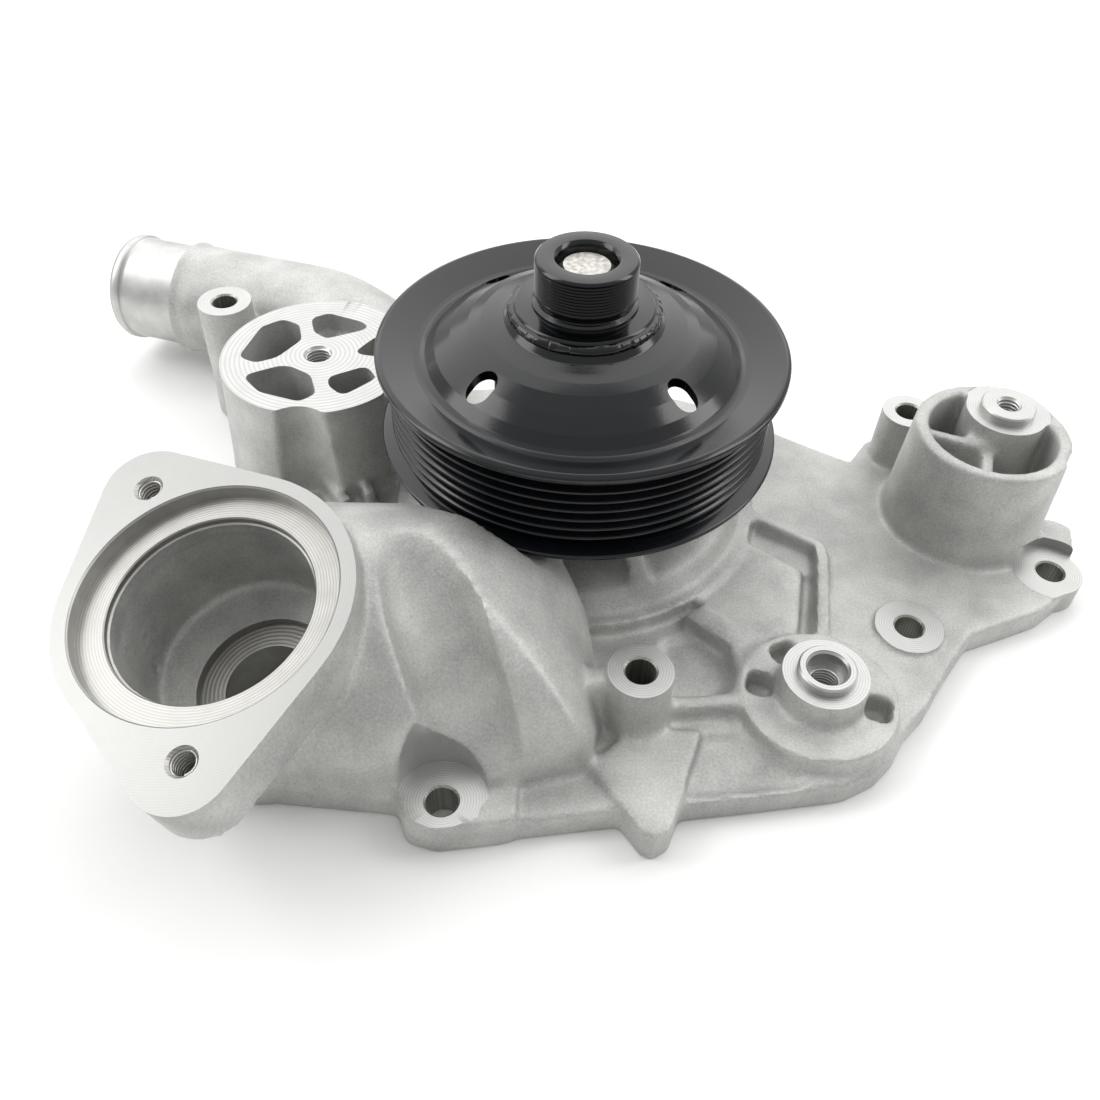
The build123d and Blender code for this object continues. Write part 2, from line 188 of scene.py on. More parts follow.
def prismMesh(name, outline, low, high):
    mesh = bmesh.new()
    foot = [mesh.verts.new((x * mm, y * mm, low * mm)) for x, y in outline]
    top = [mesh.verts.new((x * mm, y * mm, high * mm)) for x, y in outline]
    mesh.faces.new(foot)
    mesh.faces.new(top)
    for k in range(len(outline)):
        n = (k + 1) % len(outline)
        mesh.faces.new((foot[k], foot[n], top[n], top[k]))
    bmesh.ops.recalc_face_normals(mesh, faces=mesh.faces)
    if mesh.calc_volume(signed=True) < 0:
        bmesh.ops.reverse_faces(mesh, faces=mesh.faces)
    out = bpy.data.meshes.new(name)
    mesh.to_mesh(out)
    mesh.free()
    return out


def barMesh(x, y, low, high, radius, steps=72):
    return seated(latheMesh("bar", [(0, low), (radius, low), (radius, high), (0, high)], steps), at(x, y))


def gather(name, meshes):
    # several meshes as one piece, with each one's own material kept
    out, slots = bmesh.new(), []
    for mesh in meshes:
        start = len(out.faces)
        out.from_mesh(mesh)
        out.faces.ensure_lookup_table()
        finish = mesh.materials[0] if len(mesh.materials) else None
        if finish not in slots:
            slots.append(finish)
        for face in out.faces[start:]:
            face.material_index = slots.index(finish)
        bpy.data.meshes.remove(mesh)
    whole = bpy.data.meshes.new(name)
    out.to_mesh(whole)
    out.free()
    for finish in slots:
        whole.materials.append(finish)
    return addPiece(name, whole)


def cut(piece, tool, way="DIFFERENCE", keepTool=False):
    knife = piece.modifiers.new("cut", "BOOLEAN")
    knife.operation = way
    knife.solver = "MANIFOLD"
    knife.material_mode = "TRANSFER"
    knife.object = tool
    bake(piece)
    if not keepTool:
        drop(tool)
    return piece


def finished(mesh, finish):
    mesh.materials.clear()
    mesh.materials.append(finish)
    return mesh


def softEdges(piece, angle):
    # smooth shading, with a hard line wherever two faces meet by more than this
    piece.data.shade_smooth()
    piece.data.set_sharp_from_angle(angle=math.radians(angle))


def placed(piece, body, slot, *nodes):
    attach(piece, body)
    if nodes:
        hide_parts(*nodes)
    return piece


# camera, light and floor

view = {"at": (-0.01444, -0.27246, 0.26312), "lens": 33.768}

# the camera looks down the shaft's side at the pulley; its right hand is +X and it is rolled a little
lookAt = Vector((-0.01584, -0.69796, 0.71596))
rightHand = Vector((0.99976, 0.0, 0.02211))
upHand = lookAt.cross(rightHand)
camera = bpy.data.cameras.new("studioCamera")
camera.lens = view["lens"]
camera.sensor_width = 36
camera.clip_start = 0.01
cameraPiece = addPiece("studioCamera", camera)
turnTo = Matrix((rightHand, upHand, lookAt)).transposed().to_4x4()
cameraPiece.matrix_world = Matrix.Translation(view["at"]) @ turnTo
scene.camera = cameraPiece

studio = {
    "backLamp": {"at": (-0.10, 0.85, 0.95), "size": (2.6, 1.5), "power": 15.0, "aim": (0, 0, 0.03)},
    "leftLamp": {"at": (-0.95, 0.05, 0.75), "size": (0.5, 0.9), "power": 5.0, "aim": (0, 0, 0.04)},
    "rightLamp": {"at": (0.95, 0.10, 0.70), "size": (0.35, 0.9), "power": 4.0, "aim": (0, 0, 0.04)},
    "fillFront": 0.48, "fillBack": 0.84,
}
for lampName in ("backLamp", "leftLamp", "rightLamp"):
    spec = studio[lampName]
    lamp = bpy.data.lights.new(lampName, "AREA")
    lamp.shape = "RECTANGLE"
    lamp.size, lamp.size_y = spec["size"]
    lamp.energy = spec["power"]
    lampPiece = addPiece(lampName, lamp)
    turnTo = (Vector(spec["aim"]) - Vector(spec["at"])).to_track_quat("-Z", "Y").to_matrix().to_4x4()
    lampPiece.matrix_world = Matrix.Translation(spec["at"]) @ turnTo

# the room is bright behind and above the pump and dim on the camera's side, which keeps the black parts black
world = bpy.data.worlds.new("studioFill")
world.use_nodes = True
room = world.node_tree
facing = addNode(room, "ShaderNodeTexCoord").outputs["Generated"]
backward = addNode(room, "ShaderNodeVectorMath", {0: facing, 1: (0.0, 0.8, 0.6)},
                   operation="DOT_PRODUCT").outputs["Value"]
glow = addNode(room, "ShaderNodeMapRange", {"Value": backward, "From Min": -0.5, "From Max": 0.9,
                                            "To Min": studio["fillFront"], "To Max": studio["fillBack"]},
               interpolation_type="SMOOTHSTEP").outputs["Result"]
room.links.new(glow, room.nodes["Background"].inputs["Strength"])
room.nodes["Background"].inputs["Color"].default_value = (1, 1, 1, 1)
scene.world = world
scene.view_settings.view_transform = "Standard"

sheetMesh = bmesh.new()
bmesh.ops.create_grid(sheetMesh, x_segments=8, y_segments=8, size=3.0)
floorMesh = bpy.data.meshes.new("floor")
sheetMesh.to_mesh(floorMesh)
sheetMesh.free()
floorMesh.transform(Matrix.Translation((0, 0, cadBox[0].z - 0.0004)))
floor = addPiece("floor", floorMesh)
paper = bpy.data.materials.new("seamlessPaper")
paper.use_nodes = True
paper.node_tree.nodes["Principled BSDF"].inputs["Base Color"].default_value = ink("#f6f6f5")
paper.node_tree.nodes["Principled BSDF"].inputs["Roughness"].default_value = 0.9
finished(floorMesh, paper)
say("camera, light and floor stand")


# finishes

def newFinish(name):
    finish = bpy.data.materials.new(name)
    finish.use_nodes = True
    tree = finish.node_tree
    skin = tree.nodes["Principled BSDF"]
    place = addNode(tree, "ShaderNodeTexCoord").outputs["Object"]
    return finish, tree, skin, place


def grain(tree, place, size, detail=3.0, rough=0.55):
    # noise whose lumps are about this many mm across
    plugs = {"Vector": place, "Scale": 1 / (size * mm), "Detail": detail, "Roughness": rough}
    return addNode(tree, "ShaderNodeTexNoise", plugs).outputs["Fac"]


def between(tree, value, low, high):
    plugs = {"Value": value, "To Min": low, "To Max": high}
    return addNode(tree, "ShaderNodeMapRange", plugs).outputs["Result"]


def relief(tree, skin, layers):
    # bump layers in turn: height socket, depth in mm, strength
    normal = None
    for height, depth, strength in layers:
        plugs = {"Height": height, "Distance": depth * mm, "Strength": strength}
        if normal:
            plugs["Normal"] = normal
        normal = addNode(tree, "ShaderNodeBump", plugs).outputs["Normal"]
    tree.links.new(normal, skin.inputs["Normal"])


def castAluminium(name, dark, light, rough=(0.52, 0.7)):
    # sand-cast aluminium, blasted: an even warm grey with a fine grain, a few pits and soft cloudy patches
    finish, tree, skin, place = newFinish(name)
    sand = grain(tree, place, 0.75, 4.0, 0.6)
    cloud = grain(tree, place, 16.0, 3.0, 0.5)
    pits = addNode(tree, "ShaderNodeTexVoronoi", {"Vector": place, "Scale": 1 / (2.6 * mm)})
    pitDepth = addNode(tree, "ShaderNodeMapRange", {"Value": pits.outputs["Distance"], "From Min": 0.05,
                                                     "From Max": 0.22, "To Min": 0.0, "To Max": 1.0})
    both = addNode(tree, "ShaderNodeMath", {0: sand, 1: cloud}, operation="ADD").outputs[0]
    spread = {"Value": both, "From Min": 0.7, "From Max": 1.3}
    tone = addNode(tree, "ShaderNodeMapRange", spread).outputs["Result"]
    shade = setRamp(addNode(tree, "ShaderNodeValToRGB", {"Fac": tone}), [(0.0, ink(dark)), (1.0, ink(light))])
    tree.links.new(shade, skin.inputs["Base Color"])
    skin.inputs["Metallic"].default_value = 0.6
    tree.links.new(between(tree, sand, *rough), skin.inputs["Roughness"])
    relief(tree, skin, [(sand, 0.16, 0.55), (pitDepth.outputs["Result"], 0.12, 0.35)])
    return finish


def cutAluminium(name, centre, turn=(0, 0, 0), pitch=0.9, colour=("#acacaa", "#cfcfcd"), rings=True,
                 depth=0.02):
    # freshly cut aluminium: nearly white and satin, with feed lines round its centre or straight across
    finish, tree, skin, place = newFinish(name)
    spot = addNode(tree, "ShaderNodeMapping", {"Vector": place}, vector_type="TEXTURE")
    spot.inputs["Location"].default_value = [c * mm for c in centre]
    spot.inputs["Rotation"].default_value = turn
    # a wave repeats each pi/10 over its scale; the lines are coarser than a real 0.2 mm feed so they show
    waveScale = math.pi / 10 / (pitch * mm)
    wave = addNode(tree, "ShaderNodeTexWave", {"Vector": spot.outputs[0], "Scale": waveScale,
                                               "Distortion": 0.6, "Detail": 2.0, "Detail Scale": 1.4},
                   wave_type="RINGS" if rings else "BANDS")
    if rings:
        wave.rings_direction = "Z"
    drift = grain(tree, place, 7.0, 3.0)
    grit = grain(tree, place, 0.5, 2.0)
    lines = wave.outputs["Fac"]
    mixed = addNode(tree, "ShaderNodeMath", {0: lines, 1: drift}, operation="MULTIPLY").outputs[0]
    shade = setRamp(addNode(tree, "ShaderNodeValToRGB", {"Fac": between(tree, mixed, 0.1, 1.3)}),
                    [(0.0, ink(colour[0])), (1.0, ink(colour[1]))])
    tree.links.new(shade, skin.inputs["Base Color"])
    skin.inputs["Metallic"].default_value = 0.9
    tree.links.new(between(tree, mixed, 0.38, 0.54), skin.inputs["Roughness"])
    relief(tree, skin, [(lines, depth, 0.5), (grit, 0.02, 0.25)])
    return finish


def evenFinish(name, dark, light, rough, metallic=1.0, size=3.0, depth=0.02, grit=0.4):
    # ground steel, rubber and the like: a close shade shift, and roughness that wanders with it
    finish, tree, skin, place = newFinish(name)
    cloud = grain(tree, place, size, 4.0)
    fine = grain(tree, place, grit, 2.0)
    ramp = addNode(tree, "ShaderNodeValToRGB", {"Fac": cloud})
    shade = setRamp(ramp, [(0.3, ink(dark)), (0.7, ink(light))])
    tree.links.new(shade, skin.inputs["Base Color"])
    skin.inputs["Metallic"].default_value = metallic
    tree.links.new(between(tree, cloud, rough[0], rough[1]), skin.inputs["Roughness"])
    relief(tree, skin, [(fine, depth, 0.4)])
    return finish


seat = {"at": (-101.1, -92.3, 58.3), "normal": (-0.130, -0.187, 0.974), "x": (0.991, 0.0, 0.132),
        "ears": ((-22.6, 38.3), (2.5, -45.6)),
        "bore": 36.4, "boreDeep": 4.5, "mouth": 28.7, "bypass": (4.0, -5.0), "ringDeep": 43.0}
seatUp = Vector(seat["normal"]).normalized()
seatAcross = seatUp.cross(Vector(seat["x"])).normalized()
seatAlong = seatAcross.cross(seatUp)
seatFrame = axesAt(seat["at"], seatAlong, seatAcross, seatUp)
seatTurn = tuple(seatFrame.to_euler())
ringSpot = seatFrame @ Vector((seat["bypass"][0] * mm, seat["bypass"][1] * mm, 0)) / mm

spigot = {"end": (-182.0, 110.6, 26.0), "turn": 343.1, "r": 20.2, "lipR": 21.1, "bore": 16.6, "long": 28.5}
spigotWay = Vector((math.cos(math.radians(spigot["turn"])), math.sin(math.radians(spigot["turn"])), 0))
spigotSide = Vector((0, 0, 1)).cross(spigotWay)
spigotFrame = axesAt(spigot["end"], spigotSide, Vector((0, 0, 1)), spigotWay)

finishes = {
    "cast": castAluminium("sandCastAluminium", "#a6a6a4", "#cfcfcc"),
    "faceRear": cutAluminium("milledAluminiumRear", (0, 0, 0), pitch=2.4, rings=False),
    "faceSeat": cutAluminium("milledAluminiumSeat", seat["at"], seatTurn, 0.7, ("#9d9d9b", "#acacaa"),
                             depth=0.006),
    "boreSeat": cutAluminium("boredAluminiumSeat", seat["at"], seatTurn, 0.8, ("#93928e", "#c2c1bd")),
    # the faced ring and bypass hole at the pocket's floor are toned darker than other cut metal: painted
    # shade for their depth
    "ringSeatPaintedShade": cutAluminium("facedAluminiumRingPaintedShade", tuple(ringSpot), seatTurn, 1.3, ("#7e7d79", "#b6b5b1"),
                             depth=0.05),
    "spigot": cutAluminium("turnedAluminiumSpigot", spigot["end"], tuple(spigotFrame.to_euler()), 0.9,
                           ("#a2a2a0", "#d2d2d0")),
    "bore": cutAluminium("boredAluminium", (0, 0, 0), pitch=0.9, colour=("#96968f", "#c2c1bc")),
}
say("finishes are mixed")


# the casting: as-cast blank first, then every cut the shop makes

casting = {
    "voxel": 1.15, "softPasses": 7, "grainSize": 1.6, "grainHigh": 0.10, "faces": 170000,
    # holes for the mounting bolts: x, y, top of the spot face, boss radius
    "posts": {"middle": (16.5, -92.8, 30.5, 9.7), "right": (107.0, -58.0, 10.4, 10.6),
              "ear": (162.5, -31.1, 8.9, 10.5), "upper": (122.8, 29.0, 30.0, 9.5),
              "left": (-132.2, 65.4, 48.0, 10.0)},
    "corner": (-38.6, -124.3, 12.0, 13.0),
    "boltR": 4.5,
    # screw seats: x and y, height of the face, then top and radius of the pilot
    "pad": (71.3, -88.6), "padFace": 24.8, "padPilot": (27.6, 8.6), "padThread": 4.25,
    "towerBoss": (146.0, 7.0), "towerFace": (48.0, 13.5), "towerPilot": (50.8, 9.0), "towerThread": 3.4,
    "drum": (-92.0, 32.5), "drumFace": 48.0, "drumThread": 4.25,
}

source = addPiece("housingSource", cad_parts["housing"].data.copy())
welded = bmesh.new()
welded.from_mesh(source.data)
bmesh.ops.remove_doubles(welded, verts=welded.verts, dist=0.000002)
welded.to_mesh(source.data)
welded.free()
source.data.materials.clear()
for layer in list(source.data.attributes):
    if not layer.is_required and layer.name != "material_index" and not layer.name.startswith("."):
        source.data.attributes.remove(layer)


def stretchFace(x, y, radius, top, up=3.0, thick=1.0, frameTo=None):
    # a slice of the casting just under a machined face, pulled up to leave stock on it
    frameTo = frameTo or Matrix.Identity(4)
    tool = addPiece("slice", seated(barMesh(x, y, top - thick, top + 1.5, radius), frameTo))
    part = addPiece("stock", source.data.copy())
    cut(part, tool, "INTERSECT")
    back = frameTo.inverted()
    for vert in part.data.vertices:
        spot = back @ vert.co
        low = (top - thick) * mm
        spot.z = low + (spot.z - low) * (thick + up) / thick
        vert.co = frameTo @ spot
    mesh = part.data
    bpy.data.objects.remove(part)
    return mesh


blanks = [source.data.copy()]
for x, y, top, radius in casting["posts"].values():
    blanks.append(stretchFace(x, y, radius + 0.6, top))
    blanks.append(barMesh(x, y, -3.0, top + 2.6, casting["boltR"] + 0.8))
x, y, top, radius = casting["corner"]
blanks.append(barMesh(x, y, -3.0, 14.5, casting["boltR"] + 0.8))
blanks.append(barMesh(x, y, 10.0, 14.5, 7.6))
x, y = casting["pad"]
blanks.append(barMesh(x, y, 20.0, 28.6, 12.4))
blanks.append(barMesh(x, y, 2.0, 30.6, casting["padPilot"][1] + 0.6))
x, y = casting["towerBoss"]
blanks.append(barMesh(x, y, 40.0, 51.2, casting["towerFace"][1] - 0.4))
blanks.append(barMesh(x, y, 14.0, 54.0, casting["towerPilot"][1] + 0.6))
x, y = casting["drum"]
blanks.append(stretchFace(x, y, 38.0, casting["drumFace"]))
blanks.append(barMesh(x, y, 12.0, 50.6, casting["drumThread"] + 0.8))
blanks.append(stretchFace(0, 0, 230.0, 1.0, up=0.0, thick=1.0))
for vert in blanks[-1].vertices:
    vert.co.z = vert.co.z * 4.0 - 3.0 * mm
blanks.append(stretchFace(0, 0, 75.0, 0.0, frameTo=seatFrame))
inner, outer = seat["mouth"] - 1.6, seat["bore"] + 0.8
ring = [(inner, -6.0), (outer, -6.0), (outer, 2.8), (inner, 2.8)]
blanks.append(seated(latheMesh("ring", ring), seatFrame))
for x, y in seat["ears"]:
    blanks.append(seated(barMesh(x, y, -26.0, 2.8, 4.4), seatFrame))
bx, by = seat["bypass"]
blanks.append(seated(barMesh(bx, by, -46.5, -40.2, 22.0), seatFrame))
inner, outer, far = spigot["bore"] - 1.2, spigot["r"] + 2.2, spigot["long"] + 1
tube = [(inner, -3), (outer, -3), (outer, far), (inner, far)]
blanks.append(seated(latheMesh("tube", tube), spigotFrame))
blanks.append(latheMesh("snoutBlank", [(14, -3), (46, -3), (46, 17.5), (28, 22), (28, 76.5), (14, 76.5)]))
blank = gather("pump_housing", blanks)
say("stock is on the blank")

shrink = blank.modifiers.new("skin", "REMESH")
shrink.mode = "VOXEL"
shrink.voxel_size = casting["voxel"] * mm
bake(blank)
say(f"blank has {len(blank.data.polygons)} faces")
ease = blank.modifiers.new("ease", "SMOOTH")
ease.factor = 0.5
ease.iterations = casting["softPasses"]
bake(blank)

# the mould's sand leaves a grain that stands a tenth of a millimetre proud
sandTree = bpy.data.node_groups.new("sandSkin", "GeometryNodeTree")
face = sandTree.interface
face.new_socket("Geometry", in_out="INPUT", socket_type="NodeSocketGeometry")
face.new_socket("Grain size", in_out="INPUT", socket_type="NodeSocketFloat")
face.new_socket("Grain height", in_out="INPUT", socket_type="NodeSocketFloat")
face.new_socket("Geometry", in_out="OUTPUT", socket_type="NodeSocketGeometry")
into = addNode(sandTree, "NodeGroupInput")
onePer = addNode(sandTree, "ShaderNodeMath", {0: 1.0, 1: into.outputs["Grain size"]},
                 operation="DIVIDE").outputs[0]
lumps = addNode(sandTree, "ShaderNodeTexNoise", {"Scale": onePer, "Detail": 2.0}).outputs["Fac"]
centred = addNode(sandTree, "ShaderNodeMath", {0: lumps, 1: 0.5}, operation="SUBTRACT").outputs[0]
high = addNode(sandTree, "ShaderNodeMath", {0: centred, 1: into.outputs["Grain height"]},
               operation="MULTIPLY").outputs[0]
outward = addNode(sandTree, "GeometryNodeInputNormal").outputs[0]
push = addNode(sandTree, "ShaderNodeVectorMath", {0: outward, "Scale": high}, operation="SCALE").outputs[0]
moved = addNode(sandTree, "GeometryNodeSetPosition", {"Geometry": into.outputs["Geometry"], "Offset": push})
addNode(sandTree, "NodeGroupOutput", {0: moved.outputs[0]})
sandSkin = blank.modifiers.new("sandSkin", "NODES")
sandSkin.node_group = sandTree
for item in face.items_tree:
    if item.name == "Grain size":
        sandSkin[item.identifier] = casting["grainSize"] * mm
    if item.name == "Grain height":
        sandSkin[item.identifier] = casting["grainHigh"] * 2 * mm
bake(blank)

# rough scabs where molten metal broke into the sand inside the thermostat pocket
scab = {"spots": ((-28.0, 6.0, -30.0, 7.0), (-29.0, -3.0, -20.0, 4.5), (-28.5, 0.0, -37.0, 5.0),
                  (-12.0, 27.0, -33.0, 4.0)), "high": 0.55, "lump": 1.9}
intoSeat = seatFrame.inverted()
for vert in blank.data.vertices:
    here = (intoSeat @ vert.co) / mm
    if here.z > -8 or here.length > 60:
        continue
    near = max(1 - (here - Vector(spot[:3])).length / spot[3] for spot in scab["spots"])
    if near > 0:
        lump = 0.5 + noise.noise(here / scab["lump"]) + 0.5 * noise.noise(here / scab["lump"] * 2)
        vert.co += vert.normal * lump * scab["high"] * min(1.0, near * 3) * mm
thin = blank.modifiers.new("thin", "DECIMATE")
triangles = sum(len(p.vertices) - 2 for p in blank.data.polygons)
thin.ratio = min(1.0, casting["faces"] / triangles)
thin.use_collapse_triangulate = True
bake(blank)
finished(blank.data, finishes["cast"])
drop(source)
say(f"casting skin has {len(blank.data.polygons)} faces")

# faces first: everything over each machined face goes
wholeRear = [(-260, -240), (260, -240), (260, 240), (-260, 240)]
faceTools = [finished(prismMesh("rearFace", wholeRear, -12, 0), finishes["faceRear"])]
for name, (x, y, top, radius) in casting["posts"].items():
    finishes[name] = cutAluminium("spotFacedAluminium_" + name, (x, y, 0), pitch=0.8)
    faceTools.append(finished(barMesh(x, y, top, top + 9, radius + 2.2), finishes[name]))
x, y, top, radius = casting["corner"]
finishes["corner"] = cutAluminium("spotFacedAluminium_corner", (x, y, 0), pitch=0.8, depth=0.04)
faceTools.append(finished(barMesh(x, y, top, 70, radius), finishes["corner"]))
for spotName, pilotName, wide in (("pad", "padPilot", 15.6), ("towerBoss", "towerPilot", 14.6)):
    x, y = casting[spotName]
    pilotTop, pilotR = casting[pilotName]
    low = casting["padFace"] if spotName == "pad" else casting["towerFace"][0]
    finishes[spotName] = cutAluminium("turnedAluminium_" + spotName, (x, y, 0), pitch=0.8)
    shape = [(0, pilotTop), (pilotR - 0.5, pilotTop), (pilotR, pilotTop - 0.5), (pilotR, low), (wide, low),
             (wide, low + 12), (0, low + 12)]
    faceTools.append(finished(seated(latheMesh("faceTool", shape), at(x, y)), finishes[spotName]))
x, y = casting["drum"]
finishes["drum"] = cutAluminium("facedAluminiumDrum", (x, y, 0), pitch=1.6, depth=0.012)
drumFace = casting["drumFace"]
faceTools.append(finished(barMesh(x, y, drumFace, drumFace + 9, 40.0), finishes["drum"]))
faceTools.append(finished(seated(barMesh(0, 0, 0, 14, 78), seatFrame), finishes["faceSeat"]))
long = spigot["long"]
sleeve = [(spigot["r"] - 0.5, -9), (27, -9), (27, long), (spigot["r"], long)]
marks = 22
for k in range(marks):
    sleeve.append((spigot["r"], long - 0.6 - (long - 6.2) * k / marks))
    sleeve.append((spigot["r"] - 0.06, long - 1.2 - (long - 6.2) * k / marks))
sleeve += [(spigot["r"], 5.4), (spigot["lipR"], 4.2), (spigot["lipR"], 1.9), (spigot["r"] + 0.2, 0.5),
           (spigot["r"] - 0.5, 0.0)]
faceTools.append(finished(seated(latheMesh("sleeve", sleeve), spigotFrame), finishes["spigot"]))
endCap = [(0, -9), (spigot["r"] - 0.2, -9), (spigot["r"] - 0.2, 0), (0, 0)]
faceTools.append(finished(latheMesh("snoutTop", [(0, 74), (34, 74), (34, 80), (0, 80)]), finishes["bore"]))
for k, tool in enumerate(faceTools):
    knife = addPiece(f"faceTool{k}", tool)
    cut(blank, knife)
cut(blank, addPiece("endCap", finished(seated(latheMesh("cap", endCap), spigotFrame), finishes["spigot"])))
say("faces are cut")

# then the bores and drilled holes
drills = []


def addDrill(shape, steps, where, finish):
    drills.append(finished(seated(latheMesh("drill", shape, steps), where), finish))


boltR = casting["boltR"]
for name, (x, y, top, radius) in list(casting["posts"].items()) + [("corner", casting["corner"])]:
    wideR = boltR + 0.6
    shape = [(0, -4), (boltR, -4), (boltR, top - 0.6), (wideR, top), (wideR, top + 4), (0, top + 4)]
    addDrill(shape, 48, at(x, y), finishes["bore"])
tapR = casting["padThread"]
shape = [(0, 4), (tapR, 6), (tapR, 22), (5.8, 22.0), (5.8, 26.8), (6.6, 27.7), (6.6, 33), (0, 33)]
addDrill(shape, 64, at(*casting["pad"]), finishes["pad"])
tapR = casting["towerThread"]
shape = [(0, 20), (tapR, 22), (tapR, 50.0), (4.3, 50.9), (4.3, 56), (0, 56)]
addDrill(shape, 48, at(*casting["towerBoss"]), finishes["towerBoss"])
tapR = casting["drumThread"]
shape = [(0, 18), (tapR, 20), (tapR, 47.2), (5.1, 48.05), (5.1, 53), (0, 53)]
addDrill(shape, 48, at(*casting["drum"]), finishes["drum"])
mouth, bore, shelf = seat["mouth"], seat["bore"], -seat["boreDeep"]
shape = [(0, -24), (mouth, -6.6), (mouth, shelf - 0.4), (mouth + 0.4, shelf), (bore, shelf), (bore, -0.5),
         (bore + 0.5, 0.05), (bore + 0.5, 4), (0, 4)]
addDrill(shape, 160, seatFrame, finishes["boreSeat"])
ringLow = -seat["ringDeep"]
shape = [(0, -70), (13.3, -70), (13.3, ringLow), (21.0, ringLow), (21.0, -38.0), (0, -38.0)]
addDrill(shape, 128, seatFrame @ at(bx, by), finishes["ringSeatPaintedShade"])
for x, y in seat["ears"]:
    shape = [(0, -26), (3.4, -24), (3.4, -0.8), (4.3, 0.05), (4.3, 4), (0, 4)]
    addDrill(shape, 48, seatFrame @ at(x, y), finishes["boreSeat"])
bore = spigot["bore"]
shape = [(0, -6), (bore + 0.5, -6), (bore + 0.5, 0), (bore, 0.6), (bore, 30), (0, 30)]
addDrill(shape, 96, spigotFrame, finishes["spigot"])
shape = [(0, -4), (42, -4), (42, 16), (18, 16), (18, 25), (16.5, 25), (16.5, 28), (20.02, 28), (20.02, 80),
         (0, 80)]
addDrill(shape, 128, Matrix.Identity(4), finishes["bore"])
for k, tool in enumerate(drills):
    cut(blank, addPiece(f"drill{k}", tool))
softEdges(blank, 38)
placed(blank, "pump_body", "cast_aluminium", "housing")
say(f"casting is machined, {len(blank.data.polygons)} faces")


# threads, one Geometry Nodes tree for all of them

threadTree = bpy.data.node_groups.new("threadRidge", "GeometryNodeTree")
face = threadTree.interface
face.new_socket("Geometry", in_out="INPUT", socket_type="NodeSocketGeometry")
for label in ("Radius", "Pitch", "Length", "Ridge"):
    face.new_socket(label, in_out="INPUT", socket_type="NodeSocketFloat")
face.new_socket("Finish", in_out="INPUT", socket_type="NodeSocketMaterial")
face.new_socket("Geometry", in_out="OUTPUT", socket_type="NodeSocketGeometry")
into = addNode(threadTree, "NodeGroupInput")
turns = addNode(threadTree, "ShaderNodeMath", {0: into.outputs["Length"], 1: into.outputs["Pitch"]},
                operation="DIVIDE")
coil = addNode(threadTree, "GeometryNodeCurveSpiral", {"Resolution": 28, "Rotations": turns.outputs[0],
                                                       "Start Radius": into.outputs["Radius"],
                                                       "End Radius": into.outputs["Radius"],
                                                       "Height": into.outputs["Length"]})
upright = addNode(threadTree, "GeometryNodeSetCurveNormal", {"Curve": coil.outputs[0]}, mode="Z_UP")
ridgeSize = {"Resolution": 4, "Radius": into.outputs["Ridge"]}
section = addNode(threadTree, "GeometryNodeCurvePrimitiveCircle", ridgeSize)
swept = {"Curve": upright.outputs[0], "Profile Curve": section.outputs[0], "Fill Caps": True}
ridge = addNode(threadTree, "GeometryNodeCurveToMesh", swept)
real = addNode(threadTree, "GeometryNodeRealizeInstances", {"Geometry": ridge.outputs[0]})
clad = addNode(threadTree, "GeometryNodeSetMaterial", {"Geometry": real.outputs[0],
                                                       "Material": into.outputs["Finish"]})
addNode(threadTree, "NodeGroupOutput", {0: clad.outputs[0]})

finishes["thread"] = cutAluminium("tappedAluminium", (0, 0, 0), pitch=0.5, colour=("#bdbcb8", "#ecebe8"))
# radii and pitch in mm; the ridge is a share of the pitch
tap = {"large": 4.35, "small": 3.5, "pitch": 1.25, "ridge": 0.47}


def thread(name, radius, low, high, matrix):
    piece = addPiece(name, bpy.data.meshes.new(name))
    winder = piece.modifiers.new("thread", "NODES")
    winder.node_group = threadTree
    wanted = {"Radius": radius * mm, "Pitch": tap["pitch"] * mm, "Length": (high - low) * mm,
              "Ridge": tap["pitch"] * tap["ridge"] * mm, "Finish": finishes["thread"]}
    for item in threadTree.interface.items_tree:
        if item.in_out == "INPUT" and item.name in wanted:
            winder[item.identifier] = wanted[item.name]
    bake(piece)
    piece.data.transform(matrix @ Matrix.Translation((0, 0, low * mm)))
    return placed(piece, "pump_body", "cast_aluminium")


thread("pad_thread", tap["large"], 6.5, 21.6, at(*casting["pad"]))
thread("tower_thread", tap["small"], 24, 49.6, at(*casting["towerBoss"]))
thread("drum_thread", tap["large"], 22, 47.0, at(*casting["drum"]))
for number, (x, y) in enumerate(seat["ears"]):
    thread(f"seat_thread_{number + 1}", tap["small"], -22.5, -1.0, seatFrame @ at(x, y))
say("holes are tapped")


# pulley

sheet = {
    "bend": 0.9, "steps": 256, "pitch": 3.56, "grooves": 7, "firstGroove": 70.78, "ridge": 61.5, "root": 58.6,
    "half": 1.41, "flat": 0.35, "holeR": 4.1, "holeLong": 10.0, "holeAt": 41.5, "holeTurn": -47.0,
}


def ecoat(name, colour, rough, peel=0.9, peelDepth=0.05):
    # electro-dipped black coat on steel: deep, a little blue, glossy, with a faint orange peel
    finish, tree, skin, place = newFinish(name)
    drift = grain(tree, place, 9.0, 3.0)
    skinPeel = grain(tree, place, peel, 2.0)
    dust = grain(tree, place, 0.35, 2.0)
    ramp = addNode(tree, "ShaderNodeValToRGB", {"Fac": drift})
    shade = setRamp(ramp, [(0.2, ink(colour[0])), (0.8, ink(colour[1]))])
    tree.links.new(shade, skin.inputs["Base Color"])
    tree.links.new(between(tree, drift, rough[0], rough[1]), skin.inputs["Roughness"])
    skin.inputs["IOR"].default_value = 1.5
    relief(tree, skin, [(skinPeel, peelDepth, 0.22), (dust, 0.015, 0.2)])
    return finish


